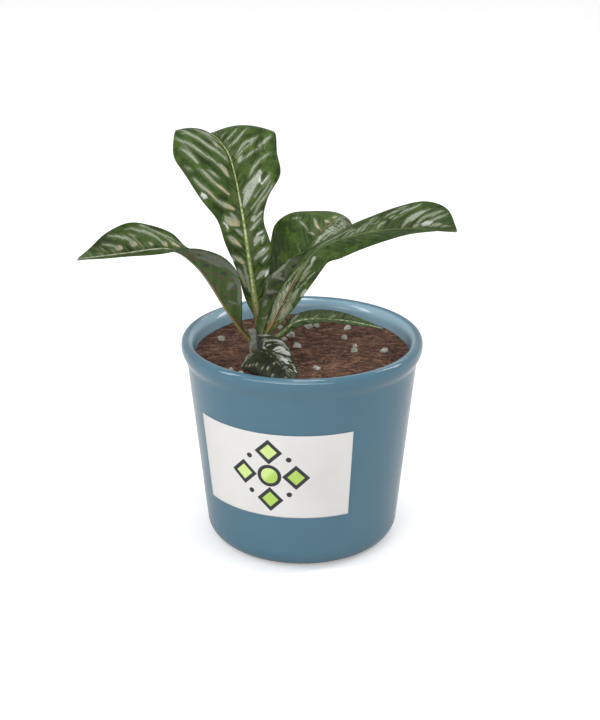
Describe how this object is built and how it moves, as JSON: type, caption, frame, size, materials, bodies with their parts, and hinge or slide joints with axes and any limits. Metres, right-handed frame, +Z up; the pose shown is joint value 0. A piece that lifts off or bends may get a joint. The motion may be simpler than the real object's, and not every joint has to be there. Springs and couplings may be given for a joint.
{
  "type": "potted dieffenbachia",
  "caption": "Round glazed pot with a rolled rim and a paper label, filled with dark soil and perlite, holding a young dieffenbachia with pale-striped green leaves on a short cane.",
  "frame": {"origin": "centre of the pot's flat underside, on the pot's axis", "axes": "+Z up along the pot's axis, -Y towards the side with the label's front, +X to the viewer's right"},
  "size_m": [0.2257, 0.151, 0.2608],
  "materials": {
    "glazed_clay": "smooth gloss glaze",
    "paper": "matt paper",
    "potting_soil": "rough crumbs",
    "cane": "satin stem",
    "leaf_green": "satin leaf",
    "leaf_dark": "satin leaf"
  },
  "bodies": {
    "root": {"pot": "glazed_clay", "label": "paper", "soil": "potting_soil", "stem": "cane", "leaf_tall": "leaf_green", "leaf_left": "leaf_green", "leaf_right": "leaf_green", "leaf_middle": "leaf_green", "leaf_low": "leaf_green", "leaf_curled": "leaf_dark"}
  },
  "joints": []
}
